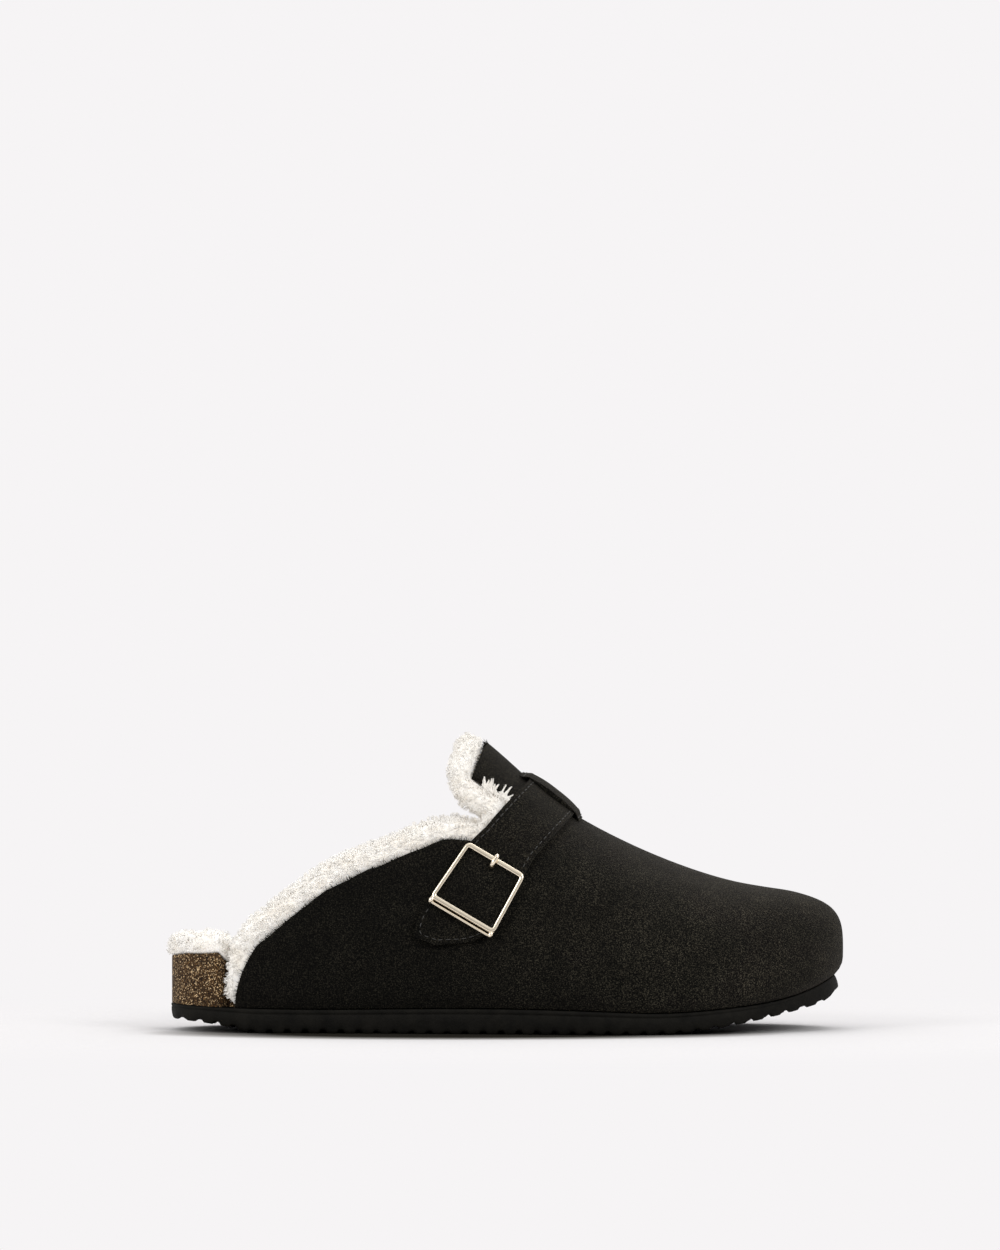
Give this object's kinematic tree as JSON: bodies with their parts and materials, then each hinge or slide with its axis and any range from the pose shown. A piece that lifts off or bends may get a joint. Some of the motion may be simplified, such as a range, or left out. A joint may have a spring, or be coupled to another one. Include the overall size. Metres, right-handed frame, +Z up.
{
  "type": "clog slipper",
  "caption": "Pile-lined suede clog slipper for the right foot with a closed toe, open heel, buckled instep strap, cork footbed and wavy rubber sole.",
  "frame": {"origin": "middle of the shoe's box, on the floor that the sole stands on", "axes": "+X to the toe, +Y to the inner side of the foot, +Z up"},
  "size_m": [0.261, 0.0966, 0.1129],
  "materials": {
    "rubber_sole": "matt black",
    "cork": "sanded speckled cork",
    "pile": "curly cream pile",
    "trim_pile": "curly cream pile",
    "suede": "brushed black suede",
    "strap_suede": "brushed black suede",
    "pale_gold": "polished pale gold"
  },
  "bodies": {
    "root": {"outsole": "rubber_sole", "footbed": "cork", "pile_insole": "pile", "upper": "suede", "pile_trim_lateral": "trim_pile", "pile_trim_medial": "trim_pile", "pile_trim_tongue": "trim_pile", "strap": "strap_suede", "strap_keeper": "strap_suede", "buckle_frame": "pale_gold", "buckle_prong": "pale_gold"}
  },
  "joints": []
}
